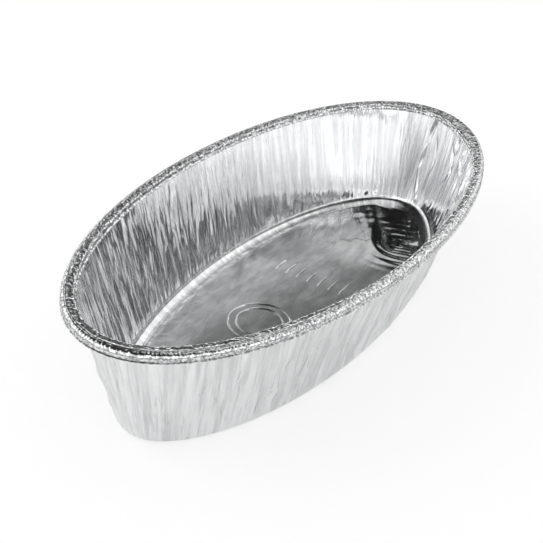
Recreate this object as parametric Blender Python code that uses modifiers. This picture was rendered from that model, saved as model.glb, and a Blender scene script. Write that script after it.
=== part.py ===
"""Oval loaf pan pressed from one sheet of aluminium foil, in metres, +Z up.

The pan stands on z = 0 with its long axis along X and its middle at the origin. Its section is a list of stations
from the floor panel up the wall to the cut edge inside the rolled rim. Each station is a ring at one distance from
the oval of the mouth, so the wall, the flange and the roll keep their width all round.
"""

import bmesh
import bpy
import numpy as np
from mathutils import Vector

MM = 0.001

# The sheet
FOIL_GAUGE = 0.12 * MM

# The mouth is the oval where the wall meets the neck, measured over the outside of the sheet
MOUTH_LENGTH = 287.0 * MM
MOUTH_WIDTH = 127.0 * MM
HEIGHT = 60.5 * MM
WALL_DRAFT_DEG = 13.0

# The base: a rounded corner, a flat ring that the pan stands on, and a panel raised inside it
CORNER_RADIUS = 4.0 * MM
STANDING_RING_WIDTH = 2.6 * MM
PANEL_RISE = 0.8 * MM
PANEL_STEP_WIDTH = 0.8 * MM

# The neck is upright, and the lip turns it out to the flange
NECK_HEIGHT = 2.7 * MM
LIP_RADIUS = 1.0 * MM

# The rim: a crimped flange from the lip to the crest of the roll, and the roll, which hides the cut edge
ROLL_RADIUS = 2.6 * MM
ROLL_TURN_DEG = 270.0
ROLL_CLEAR_OF_NECK = 1.1 * MM
LIP_BELOW_CREST = 0.3 * MM
CRIMP_ROWS = 2
CRIMP_SAG = 0.5 * MM
CRIMP_DEPTH = 0.22 * MM

# The pleats where the spare metal of the wall gathers. They are deepest a little above the corner
PLEATS = 72
PLEAT_DEPTH = 0.35 * MM
PLEAT_ABOVE_CORNER = 9.0 * MM
PLEAT_UNEVENNESS = 0.4
PLEAT_WANDER = 2.4

# How finely the curves are cut. A spoke runs up the section at each crest and each trough of the pleats
CORNER_STEPS = 3
LIP_STEPS = 2
ROLL_STEPS = 6
SPOKES = 2 * PLEATS
OVAL_SAMPLES_PER_SPOKE = 40
SHARP_EDGE_DEG = 35.0


class Station:
    """A ring of the section: how far out of the mouth it lies, its height, and its ripple from spoke to spoke."""

    def __init__(self, out, height, pleat=0.0, crimp=0.0):
        self.out = out
        self.height = height
        self.pleat = pleat
        self.crimp = crimp


def arc(centre_out, centre_height, radius, start_deg, turn_deg, steps):
    """Stations along an arc, both ends included, with angles measured from straight out."""
    angles = np.radians(np.linspace(start_deg, start_deg + turn_deg, steps + 1))
    return [
        Station(centre_out + radius * np.cos(angle), centre_height + radius * np.sin(angle))
        for angle in angles
    ]


def mouth_height():
    return HEIGHT - LIP_BELOW_CREST - LIP_RADIUS - NECK_HEIGHT


def base_stations():
    """The edge of the raised panel, the standing ring, and the corner up to where the wall starts."""
    draft = np.radians(WALL_DRAFT_DEG)
    corner_top = CORNER_RADIUS * (1.0 - np.sin(draft))
    wall_rise = mouth_height() - corner_top
    corner_out = -wall_rise * np.tan(draft) - CORNER_RADIUS * np.cos(draft)
    ring_inside = corner_out - STANDING_RING_WIDTH
    panel = [
        Station(ring_inside - PANEL_STEP_WIDTH, PANEL_RISE),
        Station(ring_inside, 0.0),
    ]
    return panel + arc(corner_out, CORNER_RADIUS, CORNER_RADIUS, -90.0, 90.0 - WALL_DRAFT_DEG, CORNER_STEPS)


def wall_stations(foot):
    """The straight wall above its foot: the pleats open just over the corner and fade out towards the mouth."""
    share = PLEAT_ABOVE_CORNER / (mouth_height() - foot.height)
    deepest = Station(foot.out * (1.0 - share), foot.height + PLEAT_ABOVE_CORNER, pleat=PLEAT_DEPTH)
    return [deepest, Station(0.0, mouth_height())]


def rim_stations():
    """The neck, the lip, the crimped flange and the roll. Both radii are taken over the sheet, so its underside is
    a gauge inside them."""
    lip_under = LIP_RADIUS - FOIL_GAUGE
    lip = arc(lip_under, mouth_height() + NECK_HEIGHT, lip_under, 180.0, -90.0, LIP_STEPS)
    roll_out = ROLL_CLEAR_OF_NECK + ROLL_RADIUS
    roll = arc(roll_out, HEIGHT - ROLL_RADIUS, ROLL_RADIUS - FOIL_GAUGE, 90.0, -ROLL_TURN_DEG, ROLL_STEPS)
    crimps = []
    for row in range(CRIMP_ROWS):
        out = lip_under + (roll_out - lip_under) * (row + 1) / (CRIMP_ROWS + 1)
        crimps.append(Station(out, lip[-1].height - CRIMP_SAG, crimp=CRIMP_DEPTH * (-1) ** row))
    return lip + crimps + roll


def spokes():
    """Each spoke's point on the mouth, evenly spaced along the oval, and its level direction out of the pan."""
    half_length = MOUTH_LENGTH / 2
    half_width = MOUTH_WIDTH / 2
    turn = np.linspace(0.0, 2.0 * np.pi, OVAL_SAMPLES_PER_SPOKE * SPOKES + 1)
    run = np.hypot(np.diff(half_length * np.cos(turn)), np.diff(half_width * np.sin(turn)))
    travelled = np.concatenate([[0.0], np.cumsum(run)])
    angles = np.interp(np.arange(SPOKES) / SPOKES * travelled[-1], travelled, turn)
    lines = []
    for angle in angles:
        point = Vector((half_length * np.cos(angle), half_width * np.sin(angle), 0.0))
        outward = Vector((half_width * np.cos(angle), half_length * np.sin(angle), 0.0)).normalized()
        lines.append((point, outward))
    return lines


def place(spoke, line, station):
    """Where a spoke crosses a station. Every other spoke is pushed out and the rest in, by an uneven amount."""
    point, outward = line
    side = 1.0 if spoke % 2 else -1.0
    uneven = 1.0 - PLEAT_UNEVENNESS * (0.5 + 0.5 * np.sin(PLEAT_WANDER * (spoke // 2)))
    out = station.out + side * station.pleat * uneven
    return point + outward * out + Vector((0.0, 0.0, station.height + side * station.crimp))


def drawn_sheet():
    """The outside and underside of the pan: the panel's oval, extruded through every station of the section."""
    base = base_stations()
    section = base + wall_stations(base[-1]) + rim_stations()
    lines = spokes()
    sheet = bmesh.new()
    number = sheet.verts.layers.int.new("spoke")
    blank = bmesh.ops.create_circle(sheet, cap_ends=True, segments=SPOKES, radius=MOUTH_LENGTH / 2)
    for index, vert in enumerate(blank["verts"]):
        vert[number] = index
        vert.co = place(index, lines[index], section[0])
    edges = list(sheet.edges)
    for station in section[1:]:
        grown = bmesh.ops.extrude_edge_only(sheet, edges=edges)["geom"]
        verts = {item for item in grown if isinstance(item, bmesh.types.BMVert)}
        edges = [item for item in grown if isinstance(item, bmesh.types.BMEdge) and set(item.verts) <= verts]
        for vert in verts:
            vert.co = place(vert[number], lines[vert[number]], station)
    return sheet


def aluminium():
    material = bpy.data.materials.new("aluminium_foil")
    material.use_nodes = True
    shader = material.node_tree.nodes["Principled BSDF"]
    shader.inputs["Base Color"].default_value = (0.80, 0.81, 0.82, 1.0)
    shader.inputs["Metallic"].default_value = 1.0
    shader.inputs["Roughness"].default_value = 0.3
    return material


def make_foil_pan(collection):
    sheet = drawn_sheet()
    mesh = bpy.data.meshes.new("foil_pan")
    sheet.to_mesh(mesh)
    sheet.free()
    mesh.shade_smooth()
    mesh.set_sharp_from_angle(angle=np.radians(SHARP_EDGE_DEG))
    mesh.materials.append(aluminium())
    pan = bpy.data.objects.new("foil_pan", mesh)
    collection.objects.link(pan)
    gauge = pan.modifiers.new("foil_gauge", "SOLIDIFY")
    gauge.thickness = FOIL_GAUGE
    gauge.offset = 1.0
    gauge.use_even_offset = True
    return pan


def main():
    for old in list(bpy.data.objects):
        bpy.data.objects.remove(old)
    collection = bpy.data.collections.new("oval_challah_pan")
    bpy.context.scene.collection.children.link(collection)
    make_foil_pan(collection)


main()
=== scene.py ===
# %% [markdown]
# This is an oval loaf pan, pressed from one thin sheet of aluminium foil and sold in stacks for baking.
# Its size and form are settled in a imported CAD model, which is loaded here as a fixed frame. Drawn anew,
# the picture could drift away from the part that is simulated. So the solid gives the box to stay in, and
# the pieces below only take its place in the picture: three stretches of one sheet, wall, floor and rim,
# creased, crimped and rolled as real foil is.

import bmesh
import bpy
import numpy as np
from mathutils import Matrix, Vector


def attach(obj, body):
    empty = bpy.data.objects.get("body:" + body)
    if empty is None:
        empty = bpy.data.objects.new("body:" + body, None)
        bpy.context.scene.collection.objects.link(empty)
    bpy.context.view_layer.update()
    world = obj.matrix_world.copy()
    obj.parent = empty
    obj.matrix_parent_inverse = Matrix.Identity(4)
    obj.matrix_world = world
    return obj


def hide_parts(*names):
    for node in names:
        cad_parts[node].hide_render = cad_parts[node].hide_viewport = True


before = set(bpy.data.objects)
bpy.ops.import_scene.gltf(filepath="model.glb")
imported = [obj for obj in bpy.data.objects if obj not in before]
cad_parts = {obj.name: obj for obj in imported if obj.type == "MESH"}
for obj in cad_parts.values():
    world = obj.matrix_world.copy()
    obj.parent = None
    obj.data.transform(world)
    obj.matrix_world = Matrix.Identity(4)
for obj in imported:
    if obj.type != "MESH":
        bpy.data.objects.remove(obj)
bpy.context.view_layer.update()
MM = 0.001

# %% [markdown]
# Every comparison with the photograph depends on the camera, so it comes first. A lens close to a small
# object makes its near end loom, as here. The camera could be dragged until it looks right, but numbers
# worked out from the rim and the base in the photograph are surer. They say how far round and down it
# looks, how it leans, how far off it is, and where the middle of the pan falls in the picture.

# %% Camera
LOOK_AZIMUTH = 1.053963
LOOK_DOWN = 0.558990
LEAN = 0.084818
FOCAL_PIXELS = 850.314
PICTURE_PIXELS = 543
SENSOR_MM = 36.0
CAMERA_AWAY = 0.407583
CAMERA_LEFT = 0.017408
CAMERA_BELOW = 0.034766
MOUTH_HEIGHT = 56.5 * MM


def camera_axes():
    """Right, up and away for a camera that looks down at the pan and leans a little."""
    away_level = Vector((np.sin(LOOK_AZIMUTH), np.cos(LOOK_AZIMUTH), 0.0))
    away = away_level * np.cos(LOOK_DOWN) - Vector((0.0, 0.0, np.sin(LOOK_DOWN)))
    level_right = Vector((np.cos(LOOK_AZIMUTH), -np.sin(LOOK_AZIMUTH), 0.0))
    level_up = level_right.cross(away)
    right = level_right * np.cos(LEAN) + level_up * np.sin(LEAN)
    return right, right.cross(away), away


right, up, away = camera_axes()
mouth_middle = Vector((0.0, 0.0, MOUTH_HEIGHT))
camera_place = mouth_middle - right * CAMERA_LEFT - up * CAMERA_BELOW - away * CAMERA_AWAY
camera = bpy.data.objects.new("camera", bpy.data.cameras.new("camera"))
camera.data.sensor_width = SENSOR_MM
camera.data.lens = SENSOR_MM * FOCAL_PIXELS / PICTURE_PIXELS
camera.data.clip_start = 0.01
turned = Matrix((right, up, -away)).transposed().to_4x4()
camera.matrix_world = Matrix.Translation(camera_place) @ turned
bpy.context.scene.collection.objects.link(camera)
bpy.context.scene.camera = camera
bpy.context.scene.view_settings.view_transform = "Standard"
print("camera at", [round(value, 4) for value in camera_place], "lens", round(camera.data.lens, 2), "mm")

# %% [markdown]
# A material in Blender is a tree of nodes, small boxes with inputs and outputs that are joined by links.
# They can be laid out by hand in the node editor. In a script each takes several lines, so the steps that
# come back are written as helpers: feed an input, do a sum on numbers or vectors, make a smooth step, and
# blend two numbers or colours.

# %% Helpers for nodes
def new_material(name):
    """A material and its node tree, with every node taken out."""
    material = bpy.data.materials.new(name)
    material.use_nodes = True
    material.node_tree.nodes.clear()
    return material, material.node_tree


def feed(tree, value, socket):
    """Gives an input a plain value or the output of another node."""
    if isinstance(value, bpy.types.NodeSocket):
        tree.links.new(value, socket)
    else:
        socket.default_value = value


def maths(tree, operation, first, second):
    """A sum on two numbers, such as ADD or MULTIPLY."""
    node = tree.nodes.new("ShaderNodeMath")
    node.operation = operation
    feed(tree, first, node.inputs[0])
    feed(tree, second, node.inputs[1])
    return node.outputs["Value"]


def vector_maths(tree, operation, first, second=None):
    """A sum on one vector or two, with a number from LENGTH and DOT_PRODUCT."""
    node = tree.nodes.new("ShaderNodeVectorMath")
    node.operation = operation
    feed(tree, first, node.inputs[0])
    if second is not None:
        feed(tree, second, node.inputs[1])
    return node.outputs["Value" if operation in ("LENGTH", "DOT_PRODUCT") else "Vector"]


def eased(tree, value, start, stop, first, last, kind="SMOOTHSTEP"):
    """A step with soft ends, or a LINEAR one: first below start, last above stop."""
    step = tree.nodes.new("ShaderNodeMapRange")
    step.interpolation_type = kind
    labels = ("Value", "From Min", "From Max", "To Min", "To Max")
    for label, number in zip(labels, (value, start, stop, first, last)):
        feed(tree, number, step.inputs[label])
    return step.outputs["Result"]


def blended(tree, share, first, second, colours=False):
    """The first of two numbers or colours where the share is 0, and the second where it is 1."""
    mix = tree.nodes.new("ShaderNodeMix")
    mix.data_type = "RGBA" if colours else "FLOAT"
    for place, value in zip((0, 6, 7) if colours else (0, 2, 3), (share, first, second)):
        feed(tree, value, mix.inputs[place])
    return mix.outputs[2 if colours else 0]


print("helpers:", [helper.__name__ for helper in (feed, maths, vector_maths, eased, blended)])

# %% [markdown]
# The pan stands on a sheet of white paper. A plain white plane would do for the camera, but the foil
# mirrors it too, and there a real table is dimmer than the lamps. So the paper has two looks, and Light
# Path chooses: to the camera it is white and holds the pan's shadow, and to every other ray it is a dim
# table, darker from 0.3 m on.

# %% Table
TABLE_HALF = 3.0
TABLE_DROP = 0.2 * MM
TABLE_WHITE = 0.66
TABLE_SHADOW = 0.42
TABLE_PAPER = 0.85
# To mirrored rays the glow is a little lower near the pan, as painted shade of the pan, and glow and paper
# darken from FAR_TABLE on, as painted shade
SHADED_GLOW_NEAR, GLOW = 0.18, 0.20
NEAR_TABLE = (0.10, 0.22)
FAR_TABLE = (0.30, 0.50)
FAR_SHADE_SHARE = 0.35


def lit_and_glowing(tree, colour, glow):
    """A matt surface that also gives off a little light of its own."""
    matt = tree.nodes.new("ShaderNodeBsdfDiffuse")
    feed(tree, colour, matt.inputs["Color"])
    own_light = tree.nodes.new("ShaderNodeEmission")
    feed(tree, glow, own_light.inputs["Strength"])
    both = tree.nodes.new("ShaderNodeAddShader")
    tree.links.new(matt.outputs["BSDF"], both.inputs[0])
    tree.links.new(own_light.outputs["Emission"], both.inputs[1])
    return both.outputs["Shader"]


def table_paper():
    """White to the camera. To everything else it glows a little less near the pan, as painted shade of the
    pan, and grows dimmer from 0.3 m on, as painted shade of the far table.
    """
    material, tree = new_material("table_white")
    distance = vector_maths(tree, "LENGTH", tree.nodes.new("ShaderNodeTexCoord").outputs["Object"])
    glow = maths(tree, "MULTIPLY", eased(tree, distance, *NEAR_TABLE, SHADED_GLOW_NEAR, GLOW),
                 eased(tree, distance, *FAR_TABLE, 1.0, FAR_SHADE_SHARE))
    paper = eased(tree, distance, *FAR_TABLE, TABLE_PAPER, TABLE_PAPER * FAR_SHADE_SHARE)
    choose = tree.nodes.new("ShaderNodeMixShader")
    seen_by = tree.nodes.new("ShaderNodeLightPath")
    tree.links.new(seen_by.outputs["Is Camera Ray"], choose.inputs["Fac"])
    tree.links.new(lit_and_glowing(tree, paper, glow), choose.inputs[1])
    shown = lit_and_glowing(tree, (TABLE_SHADOW, TABLE_SHADOW, TABLE_SHADOW, 1.0), TABLE_WHITE)
    tree.links.new(shown, choose.inputs[2])
    output = tree.nodes.new("ShaderNodeOutputMaterial")
    tree.links.new(choose.outputs["Shader"], output.inputs["Surface"])
    return material


def make_table():
    """A square of paper a hair below the pan."""
    square = bmesh.new()
    bmesh.ops.create_grid(square, x_segments=1, y_segments=1, size=TABLE_HALF)
    bmesh.ops.translate(square, verts=square.verts, vec=(0.0, 0.0, -TABLE_DROP))
    mesh = bpy.data.meshes.new("table")
    square.to_mesh(mesh)
    square.free()
    mesh.materials.append(table_paper())
    table = bpy.data.objects.new("table", mesh)
    bpy.context.scene.collection.objects.link(table)


make_table()
print("table:", 2 * TABLE_HALF, "m square,", TABLE_DROP / MM, "mm below the pan")

# %% [markdown]
# Most of what shows on foil is the room. A white room all round would leave it flat and grey. Between
# bright walls and a dark ceiling, every crease picks one or the other. Lamps and cards could be built,
# but a world shader is easier to move about and adds no noise. It has bright walls, a dimmer one on the
# right, a dark ceiling above a soft border, a grey side beyond the pan where the border is lower, and two
# round softboxes, a large one overhead for the floor to mirror and a small one beyond the pan. Only
# mirrored rays see this room. The camera sees plain white, and a matt surface an even pale fill.

# %% Room that the foil mirrors
ROOM_FILL = 0.76
WALLS = 1.50
RIGHT_WALL = 1.12
CEILING = 0.02
GREY_BEYOND = 0.12
# How high the walls reach, in degrees above the table, and how soft their upper border is
BORDER_DEG = 35.0
BORDER_BEYOND_DEG = 18.0
BORDER_RIGHT_DEG = 48.0
BORDER_SOFT = 0.07
# Where the two other sides lie, and between which cosines from their middles each fades in
BEYOND_DEG = 49.0
BEYOND_EDGE = (0.72, 0.79)
RIGHT_DEG = -38.0
RIGHT_EDGE = (0.64, 0.72)
# Round softboxes: azimuth, elevation and half width in degrees, and brightness
SOFTBOXES = ((-80.0, 74.0, 26.0, 0.8), (17.0, 45.0, 9.5, 0.74))
SOFTBOX_EDGE = 0.006


def sky(azimuth_deg, elevation_deg=0.0):
    """The unit vector that points round and up by two angles."""
    azimuth, elevation = np.radians((azimuth_deg, elevation_deg))
    level = np.cos(elevation)
    return level * np.cos(azimuth), level * np.sin(azimuth), np.sin(elevation)


def mirrored_room(tree, where):
    """How bright the room is in every direction."""
    wall_top, top_beyond, top_right = np.sin(np.radians((BORDER_DEG, BORDER_BEYOND_DEG, BORDER_RIGHT_DEG)))
    split = tree.nodes.new("ShaderNodeSeparateXYZ")
    tree.links.new(where, split.inputs["Vector"])
    heading = vector_maths(tree, "NORMALIZE", vector_maths(tree, "MULTIPLY", where, (1.0, 1.0, 0.0)))
    beyond = vector_maths(tree, "DOT_PRODUCT", heading, sky(BEYOND_DEG))
    right_side = vector_maths(tree, "DOT_PRODUCT", heading, sky(RIGHT_DEG))
    border = maths(tree, "ADD", eased(tree, beyond, *BEYOND_EDGE, wall_top, top_beyond),
                   eased(tree, right_side, *RIGHT_EDGE, 0.0, top_right - wall_top))
    above = maths(tree, "SUBTRACT", split.outputs["Z"], border)
    walls = eased(tree, right_side, *RIGHT_EDGE, WALLS, RIGHT_WALL)
    ceiling = eased(tree, beyond, *BEYOND_EDGE, CEILING, GREY_BEYOND)
    shade = blended(tree, eased(tree, above, -BORDER_SOFT, BORDER_SOFT, 0.0, 1.0), walls, ceiling)
    for azimuth, elevation, half_width, brightness in SOFTBOXES:
        aimed = vector_maths(tree, "DOT_PRODUCT", where, sky(azimuth, elevation))
        edge = np.cos(np.radians(half_width))
        softbox = eased(tree, aimed, edge - SOFTBOX_EDGE, edge + SOFTBOX_EDGE, 0.0, brightness)
        shade = maths(tree, "MAXIMUM", shade, softbox)
    return shade


def make_room():
    """The world: white to the camera, the room to mirrored rays, and an even fill to the rest."""
    world = bpy.data.worlds.new("room")
    bpy.context.scene.world = world
    world.use_nodes = True
    tree = world.node_tree
    tree.nodes.clear()
    room = mirrored_room(tree, tree.nodes.new("ShaderNodeTexCoord").outputs["Generated"])
    seen_by = tree.nodes.new("ShaderNodeLightPath").outputs
    unseen = blended(tree, seen_by["Is Glossy Ray"], ROOM_FILL, room)
    background = tree.nodes.new("ShaderNodeBackground")
    background.inputs["Color"].default_value = (1.0, 1.0, 1.0, 1.0)
    feed(tree, blended(tree, seen_by["Is Camera Ray"], unseen, 1.0), background.inputs["Strength"])
    output = tree.nodes.new("ShaderNodeOutputWorld")
    tree.links.new(background.outputs["Background"], output.inputs["Surface"])


make_room()
print("room: walls to", BORDER_DEG, "degrees above the table, and", len(SOFTBOXES), "softboxes to mirror")

# %% [markdown]
# The world alone would light the table evenly, with hardly a shadow. One area lamp, high on the left
# beyond the pan, gives the shadow its side. The foil would mirror it as a white square, so its glossy
# rays are off.

# %% Lamp
LAMP_PLACE = (-0.6, 0.9, 0.9)
LAMP_SIZE = (0.8, 0.6)
LAMP_WATTS = 2.5
LAMP_AIM = Vector((0.0, 0.0, 0.03))

lamp = bpy.data.objects.new("softbox_left", bpy.data.lights.new("softbox_left", "AREA"))
lamp.data.shape = "RECTANGLE"
lamp.data.size, lamp.data.size_y = LAMP_SIZE
lamp.data.energy = LAMP_WATTS
lamp.visible_glossy = False
facing = (LAMP_AIM - Vector(LAMP_PLACE)).to_track_quat("-Z", "Y").to_matrix().to_4x4()
lamp.matrix_world = Matrix.Translation(LAMP_PLACE) @ facing
bpy.context.scene.collection.objects.link(lamp)
print("lamp:", LAMP_WATTS, "W,", LAMP_SIZE[0], "by", LAMP_SIZE[1], "m")

# %% [markdown]
# The pan is drawn from one oval, the mouth. Scaled copies of an oval lie nearer each other at its sides
# than at its ends, but a pressed wall has the same width and lean all round. So every level lies at one
# distance from the mouth, and a point takes three numbers: how far it has run round the mouth, how far
# out of the mouth it lies, and how high. Spokes give the first, evenly spaced. The wall has one for every
# third of a millimetre, so that a crease is a real bend in the sheet and not a picture of one. Each
# stretch of the sheet holds one row or column close to its edge, so the shading stays flat across a
# joint.

# %% The oval and its spokes
MOUTH_LENGTH = 287.0 * MM
MOUTH_WIDTH = 127.0 * MM
OVAL_SAMPLES = 40000
HOLD = 0.05 * MM


def length_along(points):
    """How far it is along a line of points to each of them."""
    return np.concatenate([[0.0], np.cumsum(np.hypot(*np.diff(points, axis=0).T))])


def mouth_points(angle):
    """Points of the mouth for angles of the circle that the oval is a stretched copy of."""
    return np.stack([MOUTH_LENGTH / 2 * np.cos(angle), MOUTH_WIDTH / 2 * np.sin(angle)], axis=1)


ANGLES = np.linspace(0.0, 2.0 * np.pi, OVAL_SAMPLES + 1)
TRAVELLED = length_along(mouth_points(ANGLES))
MOUTH_RUN = TRAVELLED[-1]


def oval_spokes(count, first=0.0, last=1.0):
    """Points on the mouth, their level outward directions and their runs, for a share of the way round."""
    run = np.linspace(first, last, count + 1) * MOUTH_RUN
    if last - first < 1.0:
        run[1] = run[0] + HOLD
        run[-2] = run[-1] - HOLD
    angle = np.interp(run, TRAVELLED, ANGLES)
    outward = np.stack([MOUTH_WIDTH * np.cos(angle), MOUTH_LENGTH * np.sin(angle)], axis=1)
    outward /= np.linalg.norm(outward, axis=1, keepdims=True)
    return mouth_points(angle), outward, run


print("once round the mouth:", round(MOUTH_RUN / MM, 1), "mm")

# %% [markdown]
# Each stretch of the sheet starts as a flat grid, with a column for each spoke and a row for each station
# up the section. Then every vertex looks up where its row and column belong. Ends that meet are welded.
# Solidify gives the gauge last, so that only one face of the foil has to be modelled. That is the
# underside, as in the CAD model, and the gauge grows inward from it, so the pan still stands on its flat
# ring.

# %% Draw a stretch of the sheet
FOIL_GAUGE = 0.12 * MM
WELD = 0.002 * MM


def bent_grid(places, fall_line):
    """A grid whose vertex in row r and column c is at places[r, c] and carries its fall line."""
    rows = places.shape[0] - 1
    columns = places.shape[1] - 1
    sheet = bmesh.new()
    bmesh.ops.create_grid(sheet, x_segments=columns, y_segments=rows, size=0.5)
    carried = sheet.verts.layers.float_vector.new("fall_line")
    for vert in sheet.verts:
        at = (round((vert.co.y + 0.5) * rows), round((vert.co.x + 0.5) * columns))
        vert.co = places[at]
        vert[carried] = fall_line[at]
    bmesh.ops.remove_doubles(sheet, verts=sheet.verts, dist=WELD)
    return sheet


def finish_sheet(name, sheet, material):
    """Turns the bent grid into an object with smooth shading and the gauge of the foil."""
    mesh = bpy.data.meshes.new(name)
    sheet.to_mesh(mesh)
    sheet.free()
    mesh.shade_smooth()
    mesh.materials.append(material)
    skin = bpy.data.objects.new(name, mesh)
    bpy.context.scene.collection.objects.link(skin)
    gauge = skin.modifiers.new("foil_gauge", "SOLIDIFY")
    gauge.thickness = FOIL_GAUGE
    gauge.offset = -1.0
    gauge.use_even_offset = False
    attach(skin, "root")
    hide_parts("foil_pan")
    print(name, "has", len(mesh.polygons), "faces before the gauge doubles them")


print("gauge of the foil:", FOIL_GAUGE / MM, "mm")

# %% [markdown]
# Bright rolled foil is a mirror with a faint haze. Photographs of foil could be wrapped round the pan,
# but they bring the light of another room with them. So noise in four node groups does it, each used at
# its own strength: fine creases down the fall line, hair-thin streaks from the rolling mill, cloudy
# patches of duller shine, and a colour that goes between a darker and a bright metal, which is streaks of
# duller metal on wall, floor and beads and painted shade on the rim. The fall line holds two numbers round
# the mouth and one up the section, so streaks follow the wall round the oval without a seam.

# %% Groups for the finish of the foil
VECTOR, NUMBER, COLOUR = "NodeSocketVector", "NodeSocketFloat", "NodeSocketColor"
HAZE_SCALE, HAZE_DETAIL, HAZE_SPREAD = 60.0, 4.0, (0.35, 0.65)
# Noise of the colour mottle: duller metal on wall, floor and beads, painted shade on the rim
MOTTLE_DETAIL, MOTTLE_ROUGHNESS, MOTTLE_SPREAD = 5.0, 0.62, (0.40, 0.60)


def new_group(name, inputs, output):
    """A node group, its named sockets where values come in, and the one where the outcome goes."""
    group = bpy.data.node_groups.new(name, "ShaderNodeTree")
    for label, kind in inputs:
        group.interface.new_socket(name=label, in_out="INPUT", socket_type=kind)
    group.interface.new_socket(name=output[0], in_out="OUTPUT", socket_type=output[1])
    enter = group.nodes.new("NodeGroupInput")
    leave = group.nodes.new("NodeGroupOutput")
    return group, enter.outputs, leave.inputs[0]


def clouds(tree, place, scale, detail, roughness=0.5):
    """Cloudy noise, a number about 0.5 at every place."""
    noise = tree.nodes.new("ShaderNodeTexNoise")
    noise.inputs["Scale"].default_value = scale
    noise.inputs["Detail"].default_value = detail
    noise.inputs["Roughness"].default_value = roughness
    tree.links.new(place, noise.inputs["Vector"])
    return noise.outputs["Fac"]


def make_streaks(name, detail):
    """A height from clouds that are stretched out along one axis."""
    inputs = [("Place", VECTOR), ("Stretch", VECTOR), ("Depth", NUMBER)]
    group, enter, height = new_group(name, inputs, ("Height", NUMBER))
    place = vector_maths(group, "MULTIPLY", enter["Place"], enter["Stretch"])
    feed(group, maths(group, "MULTIPLY", clouds(group, place, 1.0, detail), enter["Depth"]), height)
    return group


def make_haze():
    """A roughness that drifts between shiny and dull."""
    inputs = [("Place", VECTOR), ("Shine", NUMBER), ("Dullness", NUMBER)]
    group, enter, roughness = new_group("foil_haze", inputs, ("Roughness", NUMBER))
    cloudy = clouds(group, enter["Place"], HAZE_SCALE, HAZE_DETAIL)
    drift = eased(group, cloudy, *HAZE_SPREAD, enter["Shine"], enter["Dullness"], "LINEAR")
    feed(group, drift, roughness)
    return group


def make_dull_and_shade_mottle():
    """A colour that goes back and forth between a darker and a bright metal: duller metal on wall, floor and
    beads, and painted shade in small cells on the rim.
    """
    inputs = [("Place", VECTOR), ("Stretch", VECTOR), ("Dull and shaded", COLOUR), ("Bright", COLOUR)]
    group, enter, colour = new_group("dull_and_painted_shade", inputs, ("Color", COLOUR))
    place = vector_maths(group, "MULTIPLY", enter["Place"], enter["Stretch"])
    cloudy = clouds(group, place, 1.0, MOTTLE_DETAIL, MOTTLE_ROUGHNESS)
    share = eased(group, cloudy, *MOTTLE_SPREAD, 0.0, 1.0, "LINEAR")
    feed(group, blended(group, share, enter["Dull and shaded"], enter["Bright"], colours=True), colour)
    return group


CREASE_GROUP = make_streaks("fine_creases", 3.0)
ROLLING_GROUP = make_streaks("rolling_streaks", 2.0)
HAZE_GROUP = make_haze()
DULL_AND_SHADE_GROUP = make_dull_and_shade_mottle()
print("finish groups:", [group.name for group in (CREASE_GROUP, ROLLING_GROUP, HAZE_GROUP, DULL_AND_SHADE_GROUP)])

# %% [markdown]
# The four foils share the groups and differ in their numbers. The wall is the brightest. The floor is
# greyer and hazier, but its far end was drawn tight and mirrors like polished metal, so its roughness
# falls off there. The beads are as bright as the wall. The rim's colour is mottled in small cells from
# dark grey to bright, painted shade that stands in for the shade in the hollows of its crimps. Metallic
# stays at 1, and the bright colour is that of clean aluminium. One Bump node is enough, because the two
# heights are added up first.

# %% Foil finishes
BRIGHT = ((0.72, 0.725, 0.73, 1.0), (0.93, 0.935, 0.94, 1.0))
GREY = ((0.50, 0.505, 0.51, 1.0), (0.69, 0.695, 0.70, 1.0))
# The rim's colour: small cells from dark grey to bright metal, painted shade for the shade in the hollows of
# its crimps
MOTTLED_SHADE = ((0.30, 0.305, 0.31, 1.0), (0.90, 0.905, 0.91, 1.0))
POLISHED_FROM = 36.0 * MM
POLISHED_OVER = 30.0 * MM
POLISHED_SHARE = 0.2


def use_group(tree, group, inputs):
    """A node group in a material, with its inputs fed by name. Gives its one output."""
    node = tree.nodes.new("ShaderNodeGroup")
    node.node_tree = group
    for label, value in inputs.items():
        feed(tree, value, node.inputs[label])
    return node.outputs[0]


def polished(tree, place, roughness, start):
    """Brings a roughness down to that of a mirror beyond one place along the pan."""
    split = tree.nodes.new("ShaderNodeSeparateXYZ")
    tree.links.new(place, split.inputs["Vector"])
    share = eased(tree, split.outputs["X"], start, start + POLISHED_OVER, 1.0, POLISHED_SHARE)
    return maths(tree, "MULTIPLY", share, roughness)


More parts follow.
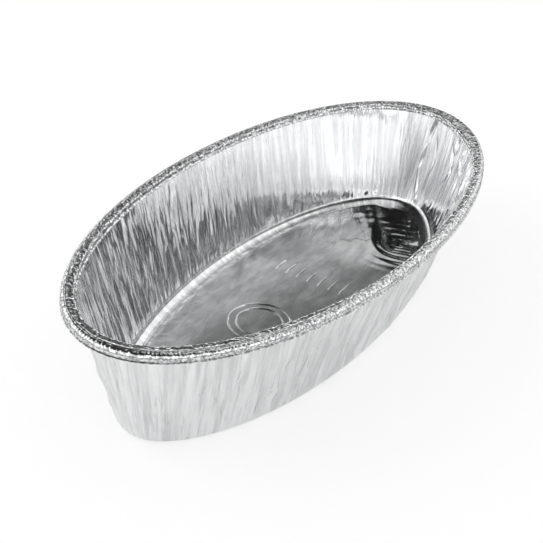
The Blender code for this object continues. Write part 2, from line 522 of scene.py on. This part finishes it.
def make_foil(name, colours, dull_stretch, haze, creasing, rolling, polished_from=None):
    """A foil finish. Colours run from darker to bright metal, and on the rim the darker one is painted
    shade.
    Haze runs from shiny to dull. Creasing and rolling say how finely noise is cut along the three axes,
    and how deep it is."""
    material, tree = new_material(name)
    fall_line = tree.nodes.new("ShaderNodeAttribute")
    fall_line.attribute_name = "fall_line"
    down = fall_line.outputs["Vector"]
    place = tree.nodes.new("ShaderNodeTexCoord").outputs["Object"]
    shader = tree.nodes.new("ShaderNodeBsdfPrincipled")
    shader.inputs["Metallic"].default_value = 1.0
    streaks = {"Place": down, "Stretch": dull_stretch, "Dull and shaded": colours[0], "Bright": colours[1]}
    feed(tree, use_group(tree, DULL_AND_SHADE_GROUP, streaks), shader.inputs["Base Color"])
    rough = use_group(tree, HAZE_GROUP, {"Place": place, "Shine": haze[0], "Dullness": haze[1]})
    if polished_from is not None:
        rough = polished(tree, place, rough, polished_from)
    feed(tree, rough, shader.inputs["Roughness"])
    creased = use_group(tree, CREASE_GROUP, {"Place": down, "Stretch": creasing[0], "Depth": creasing[1]})
    rolled = use_group(tree, ROLLING_GROUP, {"Place": place, "Stretch": rolling[0], "Depth": rolling[1]})
    bump = tree.nodes.new("ShaderNodeBump")
    bump.inputs["Distance"].default_value = 1.0
    feed(tree, maths(tree, "ADD", creased, rolled), bump.inputs["Height"])
    tree.links.new(bump.outputs["Normal"], shader.inputs["Normal"])
    output = tree.nodes.new("ShaderNodeOutputMaterial")
    tree.links.new(shader.outputs["BSDF"], output.inputs["Surface"])
    return material


PANEL_STREAKS = (60.0, 160.0, 60.0)
MILLED = ((60.0, 2500.0, 2500.0), 0.003 * MM)
UNCREASED = ((200.0, 200.0, 40.0), 0.0)
WALL_FOIL = make_foil("foil_wall", BRIGHT, (300.0, 300.0, 22.0), (0.04, 0.10),
                      ((1100.0, 1100.0, 35.0), 0.13 * MM), MILLED)
FLOOR_FOIL = make_foil("foil_floor", GREY, PANEL_STREAKS, (0.22, 0.27), UNCREASED,
                       ((40.0, 1500.0, 1500.0), 0.006 * MM), POLISHED_FROM)
BEAD_FOIL = make_foil("foil_bead", BRIGHT, PANEL_STREAKS, (0.10, 0.14), UNCREASED,
                      ((40.0, 1500.0, 1500.0), 0.003 * MM))
# The rim's foil carries painted shade: dark cells in its colour stand in for the shade in its crimps
RIM_FOIL = make_foil("foil_rim", MOTTLED_SHADE, (900.0, 900.0, 900.0), (0.07, 0.16),
                     ((1500.0, 1500.0, 300.0), 0.1 * MM), MILLED)
print("foils:", [foil.name for foil in (WALL_FOIL, FLOOR_FOIL, BEAD_FOIL, RIM_FOIL)])

# %% [markdown]
# Pressing a flat sheet into a well leaves too much metal round the wall, and it gathers into creases that
# run down it, no two alike. A repeated pleat would look machined, and plain noise would look like cloth.
# So two kinds of fold are drawn from seeded generators, which give the same pan every time. A crease is a
# ridge or a groove with a sharp crest and two flat flanks. Facets are narrow flat strips side by side,
# folded back and forth with sharp kinks, and drawn anew at each tier of the wall.

# %% Creases and facets
FACET_LEAN = 0.08
# How the kinks wander as they climb: reach, turns round the pan, and how fast they climb
FACET_WANDER = ((1.2 * MM, 3, 1.0), (0.9 * MM, 11, -1.7))


def ramp(value, start, stop):
    """0 before start, 1 after stop, and smooth between them."""
    share = np.clip((value - start) / (stop - start), 0.0, 1.0)
    return share * share * (3.0 - 2.0 * share)


def creases(run, height, count, width, depth, length, lean, lowest, highest, seed):
    """The sum of many creases, as metres out of the smooth sheet, for a grid of runs and heights."""
    dice = np.random.default_rng(seed)
    field = np.zeros_like(run)
    for _ in range(count):
        middle_run = dice.uniform(0.0, MOUTH_RUN)
        middle_height = dice.uniform(lowest, highest)
        half_length = dice.uniform(*length) / 2
        half_width = dice.uniform(*width)
        slant = dice.normal(0.0, lean)
        bow = dice.normal(0.0, lean) / half_length
        crest = dice.uniform(*depth) * dice.choice([-1.0, 1.0])
        along = height - middle_height
        across = run - middle_run - slant * along - bow * along**2 * 0.5
        across = (across + MOUTH_RUN / 2) % MOUTH_RUN - MOUTH_RUN / 2
        fade = np.clip(1.0 - (along / half_length) ** 2, 0.0, 1.0)
        flank = half_width * (0.5 + 0.5 * fade)
        field += crest * fade * np.clip(1.0 - np.abs(across) / flank, 0.0, 1.0)
    return field


def uneven_ends(dice, widths):
    """Where strips of uneven width end that go once round the mouth side by side."""
    ends = np.cumsum(dice.uniform(*widths, size=int(2 * MOUTH_RUN / sum(widths)) + 1))
    return ends * (MOUTH_RUN / ends[-1])


def facets(run, height, widths, depth, tier, seed):
    """A sheet folded into narrow flat facets, up to depth out of the smooth one or into it."""
    dice = np.random.default_rng(seed)
    field = np.zeros_like(run)
    radian = MOUTH_RUN / 2 / np.pi
    wander = sum(reach * np.sin(run / radian * turns + height / tier * climb)
                 for reach, turns, climb in FACET_WANDER)
    for level in range(-1, int(MOUTH_HEIGHT / tier) + 2):
        kinks = uneven_ends(dice, widths)
        drawn = dice.uniform(-1.0, 1.0, size=len(kinks)) * depth
        lean = dice.normal(0.0, FACET_LEAN)
        offset = 0.5 * dice.uniform(0.0, 1.0)
        share = np.clip(1.0 - np.abs(height / tier - level - offset), 0.0, 1.0)
        at = run + wander + lean * (height - level * tier)
        field += share * np.interp(at, kinks, drawn, period=MOUTH_RUN)
    return field


def from_share(run, share):
    """How far it is along the mouth, either way, to the place at a share of the way round."""
    return np.abs((run - share * MOUTH_RUN + MOUTH_RUN / 2) % MOUTH_RUN - MOUTH_RUN / 2)


quarter = from_share(np.array([0.25 * MOUTH_RUN]), 0.0)[0]
print("a quarter of the way round the mouth:", round(quarter / MM, 1), "mm")

# %% [markdown]
# The section of the wall is a flat ring that the pan stands on, a rounded corner, and a straight wall
# that leans out by the same angle all round. A bevelled cylinder could give it, but stations, each a
# distance out and a height, put every row where it is needed. The corner has eleven steps and is rounder
# than in the CAD model, because a broad light band runs along it in the photograph and would break into
# stripes on fewer.

# %% Section of the wall
WALL_DRAFT_DEG = 13.0
CORNER_RADIUS = 6.0 * MM
STANDING_RING_WIDTH = 1.0 * MM
WALL_ROWS = 35
CORNER_ROWS = 11

draft = np.radians(WALL_DRAFT_DEG)
CORNER_TOP = CORNER_RADIUS * (1.0 - np.sin(draft))
FOOT_OUT = -(MOUTH_HEIGHT - CORNER_TOP) * np.tan(draft)
CORNER_OUT = FOOT_OUT - CORNER_RADIUS * np.cos(draft)
RING_INSIDE = CORNER_OUT - STANDING_RING_WIDTH


def arc(centre_out, centre_height, radius, start_deg, turn_deg, steps):
    """Stations (out, height) along an arc, both ends included, with angles measured from straight out."""
    angle = np.radians(np.linspace(start_deg, start_deg + turn_deg, steps + 1))
    return np.stack([centre_out + radius * np.cos(angle), centre_height + radius * np.sin(angle)], axis=1)


def wall_stations():
    corner = arc(CORNER_OUT, CORNER_RADIUS, CORNER_RADIUS, -90.0, 90.0 - WALL_DRAFT_DEG, CORNER_ROWS)
    share = np.linspace(0.0, 1.0, WALL_ROWS + 1)[1:, None]
    share[-2] = 1.0 - HOLD / MOUTH_HEIGHT
    straight = corner[-1] + share * (np.array([0.0, MOUTH_HEIGHT]) - corner[-1])
    return np.concatenate([[[RING_INSIDE, 0.0], [RING_INSIDE + HOLD, 0.0]], corner, straight])


print("foot of the wall, in mm:", round(CORNER_TOP / MM, 2), "up and", round(-FOOT_OUT / MM, 2), "in")

# %% [markdown]
# The wall is not creased alike all over. In the photograph deep crowded folds fill the lower part up to a
# ragged line, with finer ones above it. Round the far right end the sheet was drawn smooth. The near wall
# has broad dents and slanting creases from handling. A painted mask could place all this, but ramps along
# the run and up the height say it in numbers that can be moved. Every layer fades out before the corner
# and the neck.

# %% Relief of the wall
# Creases: how many, half width, depth, length, lean, lowest and highest middle, seed
BROAD = (170, (2.0 * MM, 5.0 * MM), (0.15 * MM, 0.55 * MM), (25 * MM, 80 * MM), 0.10, 0.0, 50 * MM, 11)
MIDDLING = (900, (0.7 * MM, 1.6 * MM), (0.12 * MM, 0.46 * MM), (16 * MM, 56 * MM), 0.12, 0.0, 52 * MM, 12)
SLANTING = (110, (0.9 * MM, 2.2 * MM), (0.5 * MM, 1.1 * MM), (8 * MM, 30 * MM), 0.45, 0.0, 56 * MM, 17)
# Facets: widths, depth, height of a tier, seed
FOLDS = ((0.9 * MM, 3.0 * MM), 1.0 * MM, 26 * MM, 14)
FINE_FOLDS = ((0.7 * MM, 1.6 * MM), 0.36 * MM, 16 * MM, 15)
DENTS = ((2.5 * MM, 7.0 * MM), 0.8 * MM, 9 * MM, 18)
# The smooth end: where it is as a share of the run, and how far from there each kind of fold comes back
SMOOTH_AT = 0.055
SMOOTH_FADES = (90 * MM, 125 * MM)
FOLDS_FADE = (40 * MM, 75 * MM)
LEAST_FOLDS, MIDDLING_LOST, BROAD_LOST = 0.15, 0.72, 0.88
# The ragged line: its height, how far it drops at the smooth end, how much is lost above it, and over what
CROWDED_TO, CROWDED_DROP, CROWDED_LOST = 30 * MM, 20 * MM, 0.75
CROWDED_FADES = (-3.0 * MM, 9.0 * MM)
RAGGED_EVERY, RAGGED_REACH, RAGGED_SEED = 4 * MM, 6 * MM, 16
ABOVE_CORNER = (3.2 * MM, 9.0 * MM)
BELOW_NECK = 3.0 * MM
FRONT_SHARES = (0.5, 0.55)
DENTS_END = 0.92


def ragged_line(run):
    """A random line round the pan, up to its reach either side of 0."""
    dice = np.random.default_rng(RAGGED_SEED)
    values = dice.uniform(-RAGGED_REACH, RAGGED_REACH, size=int(MOUTH_RUN / RAGGED_EVERY))
    places = np.linspace(0.0, MOUTH_RUN, len(values), endpoint=False)
    return np.interp(run, places, values, period=MOUTH_RUN)


def wall_relief(run, height):
    """How far the folds push the wall out, for a grid of runs and heights."""
    from_smooth = from_share(run, SMOOTH_AT)
    smooth = 1.0 - ramp(from_smooth, *SMOOTH_FADES)
    line = CROWDED_TO - CROWDED_DROP * smooth + ragged_line(run)
    crowded = 1.0 - CROWDED_LOST * ramp(height - line, *CROWDED_FADES)
    front = ramp(run, FRONT_SHARES[0] * MOUTH_RUN, FRONT_SHARES[1] * MOUTH_RUN)
    gathered = LEAST_FOLDS + (1.0 - LEAST_FOLDS) * ramp(from_smooth, *FOLDS_FADE)
    folds = facets(run, height, *FOLDS) * crowded * gathered
    middling = creases(run, height, *MIDDLING) * (0.5 + 0.5 * crowded) * (1.0 - MIDDLING_LOST * smooth)
    dents = facets(run, height, *DENTS) * front * (1.0 - ramp(run, DENTS_END * MOUTH_RUN, MOUTH_RUN))
    broad = creases(run, height, *BROAD) + facets(run, height, *FINE_FOLDS) + dents
    slanting = creases(run, height, *SLANTING) * front
    ends = ramp(height, *ABOVE_CORNER) * ramp(MOUTH_HEIGHT - height, 0.0, BELOW_NECK)
    return (folds + middling + broad * (1.0 - BROAD_LOST * smooth) + slanting) * ends


trial = wall_relief(np.linspace(0.0, MOUTH_RUN, 500), np.full(500, 20 * MM))
print("20 mm up, the relief reaches", round(np.abs(trial).max() / MM, 2), "mm either way")

# %% [markdown]
# A grid of distances and heights becomes places by walking out from the mouth along each spoke. The
# photographed pan is also a little out of true: its mouth was pulled in near the front right end and
# bulges near the front left. Moving a whole end would bend the base too, so the pull grows with the
# square of the height. The wall comes in two halves, because one mesh of it all would be too heavy.

# %% The wall
WALL_HALF_SPOKES = 1000
# Each pull: where round the mouth it is, as a share of the run, how far it reaches, and how far in it goes
PULLS = ((0.96, 60 * MM, 3.4 * MM), (0.69, 70 * MM, -1.2 * MM))


def pulled_in(run):
    """How far the mouth is pulled in."""
    inward = np.zeros_like(run)
    for share, reach, most in PULLS:
        inward += most * (1.0 - ramp(from_share(run, share), 0.0, reach))
    return inward


def swept(spokes, stations, push, lift):
    """Places and fall lines for a grid of stations and spokes, pushed out and lifted by a relief."""
    point, outward, _ = spokes
    out = stations[:, 0][:, None] + push
    level = point[None] + outward[None] * out[..., None]
    height = stations[:, 1][:, None] + lift
    column = level.shape[:2] + (1,)
    places = np.concatenate([level, np.broadcast_to(height[..., None], column)], axis=2)
    upward = np.broadcast_to(length_along(stations)[:, None, None], column)
    return places, np.concatenate([np.broadcast_to(point[None], level.shape), upward], axis=2)


def make_wall(name, first, last):
    stations = wall_stations()
    spokes = oval_spokes(WALL_HALF_SPOKES, first, last)
    run = np.broadcast_to(spokes[2][None], (len(stations), len(spokes[2])))
    height = np.broadcast_to(stations[:, 1][:, None], run.shape)
    relief = wall_relief(run, height)
    relief[-1] = 0.0
    relief -= pulled_in(run) * np.clip(height / MOUTH_HEIGHT, 0.0, 1.0) ** 2
    places, fall_line = swept(spokes, stations, relief, np.zeros_like(relief))
    finish_sheet(name, bent_grid(places, fall_line), WALL_FOIL)


make_wall("foil_wall_back", 0.0, 0.5)
make_wall("foil_wall_front", 0.5, 1.0)

# %% [markdown]
# The floor is a panel raised a little above the ring. This one has long low waves and swells towards the
# far end, with faint folds along the swelling. Sculpting could give all that, but a formula for the
# height at a place can be moved or made taller in one line, and the beads below can be laid on it. A
# slope of one degree moves a reflection by two, so even low forms show strongly.

# %% Height of the floor
PANEL_RISE = 0.4 * MM
PANEL_STEP = 0.3 * MM
WAVE_HEIGHT = 0.35 * MM
# Waves and crinkles: how many, shortest, longest, seed
WAVES = (9, 25 * MM, 90 * MM, 21)
CRINKLES = (14, 5 * MM, 16 * MM, 23)
CRINKLE_HEIGHT = 0.5 * MM
CRINKLE_FROM, CRINKLE_OVER = 84.0 * MM, 10.0 * MM
FOLD_AZIMUTH = np.radians(29.0)
FOLD_PITCH = 8.0 * MM
FOLD_DEPTH = 0.06 * MM
FOLD_SWAY, FOLD_SWAY_LENGTH = 1.5 * MM, 9 * MM
HUMP_ALONG = 74.0 * MM
HUMP_REACH = 46.0 * MM
HUMP_SIDE = -41.0 * MM
HUMP_SLOPE = 14.0 * MM
HUMP_HEIGHT = 3.0 * MM


def waves(x, y, count, shortest, longest, seed):
    """Long low waves in all directions, adding up to about 1."""
    dice = np.random.default_rng(seed)
    field = np.zeros_like(x)
    for _ in range(count):
        length = dice.uniform(shortest, longest)
        heading = dice.uniform(0.0, np.pi)
        phase = dice.uniform(0.0, 2.0 * np.pi)
        field += np.sin(2.0 * np.pi / length * (x * np.cos(heading) + y * np.sin(heading)) + phase)
    return field / count


def hump_rise(x, y):
    """The swelling towards the far end, which drops off short of the corner on one side."""
    along = x * np.cos(FOLD_AZIMUTH) + y * np.sin(FOLD_AZIMUTH)
    beside = y * np.cos(FOLD_AZIMUTH) - x * np.sin(FOLD_AZIMUTH)
    rising = ramp(along, HUMP_ALONG - HUMP_REACH, HUMP_ALONG)
    rising *= ramp(beside, HUMP_SIDE - HUMP_SLOPE, HUMP_SIDE)
    folds = np.sin(2.0 * np.pi * (beside + FOLD_SWAY * np.sin(along / FOLD_SWAY_LENGTH)) / FOLD_PITCH)
    return (HUMP_HEIGHT + FOLD_DEPTH * folds) * rising


def slow_rise(x, y):
    """The panel with its long waves, and crinkles at the far end."""
    crinkled = ramp(x, CRINKLE_FROM, CRINKLE_FROM + CRINKLE_OVER)
    crinkles = CRINKLE_HEIGHT * waves(x, y, *CRINKLES) * crinkled
    return PANEL_RISE + WAVE_HEIGHT * waves(x, y, *WAVES) + crinkles


def floor_height(x, y):
    """The floor away from its edge."""
    return slow_rise(x, y) + PANEL_STEP + hump_rise(x, y)


print("floor at its middle:", round(floor_height(np.array([0.0]), np.array([0.0]))[0] / MM, 2), "mm up")

# %% [markdown]
# Two marks of handling finish the far end: shallow rings round one point, which mirror as curled lines,
# and one small fold where the metal was pinched, which opens from a point on the floor to its edge. A
# displacement texture could carry the rings but not the sharp crest of the fold, so both are heights as
# before.

# %% Rings and the pinched fold
SWIRL_X, SWIRL_Y = 86.0 * MM, -21.0 * MM
SWIRL_PITCH = 6.5 * MM
SWIRL_DEPTH = 0.15 * MM
SWIRL_FADES = (10 * MM, 42 * MM)
SWIRL_WARP, SWIRL_LOBES = 1.2 * MM, 4.0
FLAP_X, FLAP_Y = 85.0 * MM, -21.0 * MM
FLAP_AZIMUTH = np.radians(-48.0)
FLAP_LENGTH = 14.0 * MM
FLAP_WIDTH = 4.6 * MM
FLAP_HEIGHT = 3.4 * MM
FLAP_TIP = 0.1 * MM


def swirl(x, y):
    """Rings round one point at the far end, a little out of round."""
    warp = SWIRL_WARP * np.sin(SWIRL_LOBES * np.arctan2(y - SWIRL_Y, x - SWIRL_X))
    from_middle = np.hypot(x - SWIRL_X, y - SWIRL_Y) + warp
    fading = 1.0 - ramp(from_middle, *SWIRL_FADES)
    return SWIRL_DEPTH * np.sin(2.0 * np.pi * from_middle / SWIRL_PITCH) * fading


def flap(x, y):
    """One fold that opens from a point on the floor to its edge, with a sharp crest."""
    along = (x - FLAP_X) * np.cos(FLAP_AZIMUTH) + (y - FLAP_Y) * np.sin(FLAP_AZIMUTH)
    across = (y - FLAP_Y) * np.cos(FLAP_AZIMUTH) - (x - FLAP_X) * np.sin(FLAP_AZIMUTH)
    share = np.clip(along / FLAP_LENGTH, 0.0, 1.0)
    return FLAP_HEIGHT * share * np.clip(1.0 - np.abs(across) / (FLAP_WIDTH * share + FLAP_TIP), 0.0, 1.0)


print("the fold is", FLAP_LENGTH / MM, "mm long and", FLAP_HEIGHT / MM, "mm high at its end")

# %% [markdown]
# A filled circle would be the plain way to make an oval floor, but its faces meet in a pole, which a
# mirror shows as a star. So the rings of the floor shrink towards a line along its middle, where the two
# sides are merged. The rows crowd near the edge, where the sheet steps up and gathers into short creases,
# and every form fades to nothing at the edge itself, so the floor meets the wall.

# %% The floor
FLOOR_SPOKES = 900
FLOOR_ROWS = 36
FLOOR_CROWDING = 1.3
# How far it is from the edge of the floor to its middle line, and how far along the pan that line reaches
FLOOR_REACH = 42 * MM
MIDDLE_LINE = 1.0 - MOUTH_WIDTH / MOUTH_LENGTH * 0.9
# How far in from the edge each form has come up in full
SLOPE_OVER, HUMP_OVER, STEP_OVER = 18.0 * MM, 2.6 * MM, 0.9 * MM
SWIRL_OVER, FLAP_OVER, GATHER_OVER = 6.0 * MM, 1.5 * MM, 2.0 * MM
# Creases round the edge, described as those of the wall are, and where they fade out
GATHERS = (260, (0.8 * MM, 2.2 * MM), (0.02 * MM, 0.08 * MM), (4 * MM, 16 * MM), 0.25, 0.0, 5 * MM, 22)
GATHER_FADES = (3 * MM, 14 * MM)


def floor_relief(x, y, run, inward):
    """The height of the floor, for its edge too. Inward is how far each point lies from the edge."""
    height = slow_rise(x, y) * ramp(inward, 0.0, SLOPE_OVER) + hump_rise(x, y) * ramp(inward, 0.0, HUMP_OVER)
    height += PANEL_STEP * ramp(inward, 0.0, STEP_OVER) + swirl(x, y) * ramp(inward, 0.0, SWIRL_OVER)
    height += flap(x, y) * ramp(inward, 0.0, FLAP_OVER)
    gather = creases(run, inward, *GATHERS) * ramp(inward, 0.0, GATHER_OVER)
    return np.maximum(height + gather * (1.0 - ramp(inward, *GATHER_FADES)), 0.0)


def make_floor():
    point, outward, run = oval_spokes(FLOOR_SPOKES)
    edge = point + outward * RING_INSIDE
    middle = edge * np.array([MIDDLE_LINE, 0.0])
    share = np.linspace(0.0, 1.0, FLOOR_ROWS + 1)[:, None, None] ** FLOOR_CROWDING
    share[1] = HOLD / FLOOR_REACH
    level = edge[None] + (middle - edge)[None] * share
    x, y = level[..., 0], level[..., 1]
    every_run = np.broadcast_to(run[None], x.shape)
    inward = np.broadcast_to(share[..., 0] * FLOOR_REACH, x.shape)
    places = np.concatenate([level, floor_relief(x, y, every_run, inward)[..., None]], axis=2)
    finish_sheet("foil_floor", bent_grid(places[::-1], places[::-1]), FLOOR_FOIL)


make_floor()

# %% [markdown]
# Plain embossing stiffens the floor: two rings, one inside the other, and a row of short ribs. Cut into
# the floor, it would need a far finer floor everywhere. So each bead is a narrow grid of its own, laid
# along a line on the floor and arched across its width, with its edges sunk in the sheet. A rib tapers to
# nothing at its ends.

# %% Embossing on the floor
BEAD_WIDTH = 1.7 * MM
BEAD_RISE = 0.7 * MM
BEAD_SUNK = 0.05 * MM
BEAD_ROWS = 8
RING_X, RING_Y = -31.5 * MM, 3.0 * MM
RING_RADII = {"floor_ring_outer": 15.5 * MM, "floor_ring_inner": 11.5 * MM}
RING_POINTS = 181
RIB_X = 20.0 * MM
RIB_LENGTH = 12.0 * MM
RIB_PITCH = 6.5 * MM
RIB_POINTS = 31
RIB_BLUNTNESS = 0.3
RIBS = 8


def make_bead(name, x, y, side_x, side_y, taper):
    """A bead along a line of points, arched to both sides of it."""
    across = np.linspace(-1.0, 1.0, BEAD_ROWS + 1)[:, None]
    beside_x = x[None] + side_x[None] * across * BEAD_WIDTH / 2
    beside_y = y[None] + side_y[None] * across * BEAD_WIDTH / 2
    arch = (BEAD_RISE + BEAD_SUNK) * np.cos(np.pi / 2 * across) ** 2 * taper
    places = np.stack([beside_x, beside_y, floor_height(beside_x, beside_y) - BEAD_SUNK + arch], axis=2)
    finish_sheet(name, bent_grid(places, places), BEAD_FOIL)


def make_ring(name, radius):
    turn = -np.linspace(0.0, 2.0 * np.pi, RING_POINTS)
    out_x, out_y = np.cos(turn), np.sin(turn)
    make_bead(name, RING_X + radius * out_x, RING_Y + radius * out_y, out_x, out_y, np.ones_like(turn))


def make_rib(number):
    share = np.linspace(0.0, 1.0, RIB_POINTS)
    x = RIB_X + RIB_LENGTH * (share - 0.5)
    y = np.full_like(share, (number - (RIBS - 1) / 2) * RIB_PITCH)
    taper = np.sin(np.pi * share) ** RIB_BLUNTNESS
    make_bead(f"floor_rib_{number + 1}", x, y, np.zeros_like(y), np.ones_like(y), taper)


for name, radius in RING_RADII.items():
    make_ring(name, radius)
for number in range(RIBS):
    make_rib(number)

# %% [markdown]
# The rim stiffens the mouth. Above a small bead where the wall ends, the sheet stands upright in a short
# neck, turns out over a lip, runs across a narrow flange, and rolls down and under, which hides the sharp
# cut edge. A curve with a bevel could give an even roll, but the bead at the foot of this one and the
# groove along its face need stations at uneven turns. Where two lie close together they hold a kink
# sharp.

# %% Section of the rim
HEIGHT = 60.5 * MM
NECK_HEIGHT = 2.7 * MM
NECK_SHARES = np.array([0.0, 0.02, 0.09, 0.17, 0.25, 0.45, 0.72])
MOUTH_BEAD = np.array([0.0, 0.0, 0.75, 1.0, 0.6, 0.0, 0.0]) * 0.2 * MM
LIP_RADIUS = 1.0 * MM
LIP_LIFT = -0.15 * MM
LIP_ROWS = 5
FLANGE_ROWS = 7
FLANGE_SAG = 0.08 * MM
ROLL_RADIUS = 2.6 * MM
ROLL_CLEAR_OF_NECK = 1.1 * MM
# Where the stations of the roll lie, in degrees up from straight out, and how far they swell out
ROLL_TURNS_DEG = np.array([90.0, 83, 79, 75, 71, 62, 50, 38, 24, 8, -8, -22, -34, -34.4, -36.4, -36.8, -50,
                           -90, -135, -180])
SWELL_TURNS_DEG = np.array([-90.0, -50, 34, 36.8, 50, 90])
ROLL_SWELL = np.array([0.0, -0.2, -0.25, 0.3, 0.2, 0.0]) * MM


def rim_stations():
    lip_under = LIP_RADIUS - FOIL_GAUGE
    lip = arc(lip_under, MOUTH_HEIGHT + NECK_HEIGHT + LIP_LIFT, lip_under, 180.0, -90.0, LIP_ROWS)
    turn = np.radians(ROLL_TURNS_DEG)
    radius = ROLL_RADIUS - FOIL_GAUGE + np.interp(-turn, np.radians(SWELL_TURNS_DEG), ROLL_SWELL)
    centre = np.array([[ROLL_CLEAR_OF_NECK + ROLL_RADIUS, HEIGHT - ROLL_RADIUS]])
    roll = centre + radius[:, None] * np.stack([np.cos(turn), np.sin(turn)], axis=1)
    mouth = np.array([0.0, MOUTH_HEIGHT])
    neck = mouth + NECK_SHARES[:, None] * (lip[0] - mouth)
    neck[:, 0] -= MOUTH_BEAD
    share = np.linspace(0.0, 1.0, FLANGE_ROWS + 2)[1:-1, None]
    flange = lip[-1] + share * (roll[0] - lip[-1])
    flange[:, 1] -= FLANGE_SAG * np.sin(np.pi * share[:, 0])
    return np.concatenate([neck, lip, flange, roll])


NECK_ROWS = len(NECK_SHARES)
ROLL_ROWS = len(ROLL_TURNS_DEG) - 1
FLANGE_START = NECK_ROWS + LIP_ROWS + 1
FLANGE_END = FLANGE_START + FLANGE_ROWS
print("the rim takes", round(length_along(rim_stations())[-1] / MM, 1), "mm of sheet up its section")

# %% [markdown]
# The crimping die flattens the gathered metal as it lies, so the flange has dimples of uneven width and
# depth, and lip and roll are crumpled into tiny facets. The die did not bite alike all round: the far
# side of the roll is smooth, and the near side calmer, so it mirrors the room in long bands. Each kind of
# dimple or facet is one layer, and weights for the rows and spokes say where it acts.

# %% Relief of the rim
# Gathers: widths, how blunt each one is, and seed
WIDE_GATHERS = ((1.5 * MM, 3.6 * MM), 0.8, 31)
LONG_GATHERS = ((2.0 * MM, 4.4 * MM), 0.3, 32)
NARROW_GATHERS = ((0.9 * MM, 1.7 * MM), 0.8, 33)
SHALLOWEST_GATHER = 0.25
CRUMPLE_WIDTHS, CRUMPLE_DEPTH, CRUMPLE_TIER = (0.5 * MM, 1.4 * MM), 0.42 * MM, 0.9 * MM
CRUMPLE_IN_SEED, CRUMPLE_UP_SEED = 34, 35
CRUMPLE_FROM_ROW, CRUMPLE_OVER_ROWS = 3, 2.0
CRUMPLE_OUT = 0.3 * MM
ROLL_CRUMPLE = 0.45
ROLL_CRUMPLE_SHARES = (0.0, 0.15, 0.6, 0.75)
ROLL_DIMPLE_END = 0.75
NECK_DIMPLE, ROLL_DIMPLE, FLANGE_DIMPLE = 0.35 * MM, 0.34 * MM, 0.15 * MM
FLANGE_DIMPLES_FROM = 0.4
HIGHEST_CRUMPLE = 0.12 * MM
ROLL_GROOVE = 0.16 * MM
ROLL_GROOVE_ROW = 3
# The smooth far side and the calm near side: the middle as a share of the run, and where it fades
FAR_AT, FAR_FADES = 0.24, (0.12, 0.2)
NEAR_AT, NEAR_FADES = 0.66, (0.17, 0.25)
NEAR_CALM = 0.65


def gathers(run, widths, bluntness, seed):
    """Gathers side by side round the rim: 0 between them and up to 1 in the middle of the deepest."""
    dice = np.random.default_rng(seed)
    ends = uneven_ends(dice, widths)
    deep = dice.uniform(SHALLOWEST_GATHER, 1.0, size=len(ends))
    around = run % MOUTH_RUN
    number = np.searchsorted(ends, around, side="right").clip(0, len(ends) - 1)
    start = np.concatenate([[0.0], ends])[number]
    share = (around - start) / (ends[number] - start)
    return deep[number] * np.sin(np.pi * share) ** bluntness


def hill(share):
    """Up from 0 and down to 0 again as the share goes from 0 to 1."""
    return np.sin(np.pi * np.clip(share, 0.0, 1.0))


def rim_relief(stations, run):
    """How far the rim is pushed out and how far up, for a grid of stations and runs."""
    order = np.arange(len(stations))[:, None]
    across = np.clip((order - FLANGE_START + 1) / (FLANGE_ROWS + 1), 0.0, 1.0)
    after = np.clip((order - FLANGE_END) / ROLL_ROWS, 0.0, 1.0)
    far_side = 1.0 - ramp(np.abs(run / MOUTH_RUN - FAR_AT), *FAR_FADES)
    near_side = 1.0 - ramp(np.abs(run / MOUTH_RUN - NEAR_AT), *NEAR_FADES)
    rows_in = np.minimum(order - CRUMPLE_FROM_ROW, FLANGE_END - order) / CRUMPLE_OVER_ROWS
    past_neck = ramp(order, NECK_ROWS + 1.0, NECK_ROWS + LIP_ROWS)
    crumpled = np.clip(rows_in, 0.0, 1.0) * (1.0 - NEAR_CALM * near_side * past_neck)
    on_roll = ramp(after, *ROLL_CRUMPLE_SHARES[:2]) * (1.0 - ramp(after, *ROLL_CRUMPLE_SHARES[2:]))
    rolled = ROLL_CRUMPLE * on_roll * (1.0 - far_side) * (1.0 - NEAR_CALM * near_side)
    every_run = np.broadcast_to(run[None], (len(order), len(run)))
    section = np.broadcast_to(length_along(stations)[:, None], every_run.shape)
    crumple = (CRUMPLE_WIDTHS, CRUMPLE_DEPTH, CRUMPLE_TIER)
    crumple_in = facets(every_run, section, *crumple, CRUMPLE_IN_SEED)
    crumple_up = facets(every_run, section, *crumple, CRUMPLE_UP_SEED)
    long_gathers = gathers(run, *LONG_GATHERS)
    dimpled = FLANGE_DIMPLE * hill((across - FLANGE_DIMPLES_FROM) / (1.0 - FLANGE_DIMPLES_FROM))
    lift = np.minimum(crumple_up * crumpled - dimpled * long_gathers, HIGHEST_CRUMPLE * (1.0 - across))
    lift += rolled * (crumple_up - CRUMPLE_DEPTH)
    lift[FLANGE_END + ROLL_GROOVE_ROW] -= ROLL_GROOVE * long_gathers
    neck_dimples = NECK_DIMPLE * hill(order / (NECK_ROWS + 2)) * gathers(run, *WIDE_GATHERS) * crumpled
    push = crumpled * (crumple_in + CRUMPLE_OUT) + neck_dimples + rolled * (crumple_in - CRUMPLE_DEPTH)
    push -= ROLL_DIMPLE * hill(after / ROLL_DIMPLE_END) * gathers(run, *NARROW_GATHERS)
    return push - pulled_in(run) * (1.0 - across), lift


print("stations up the rim:", len(rim_stations()), "with", FLANGE_ROWS, "on the flange")

# %% [markdown]
# The rim is bent and finished as the wall is. Its facets need a spoke for every quarter of a millimetre,
# so it too comes in two halves. The pull of the mouth dies out across the flange, and the outer edge of
# the roll keeps the true oval.

# %% The rim
RIM_HALF_SPOKES = 1240


def make_rim(name, first, last):
    stations = rim_stations()
    spokes = oval_spokes(RIM_HALF_SPOKES, first, last)
    places, fall_line = swept(spokes, stations, *rim_relief(stations, spokes[2]))
    finish_sheet(name, bent_grid(places, fall_line), RIM_FOIL)


make_rim("foil_rim_back", 0.0, 0.5)
make_rim("foil_rim_front", 0.5, 1.0)
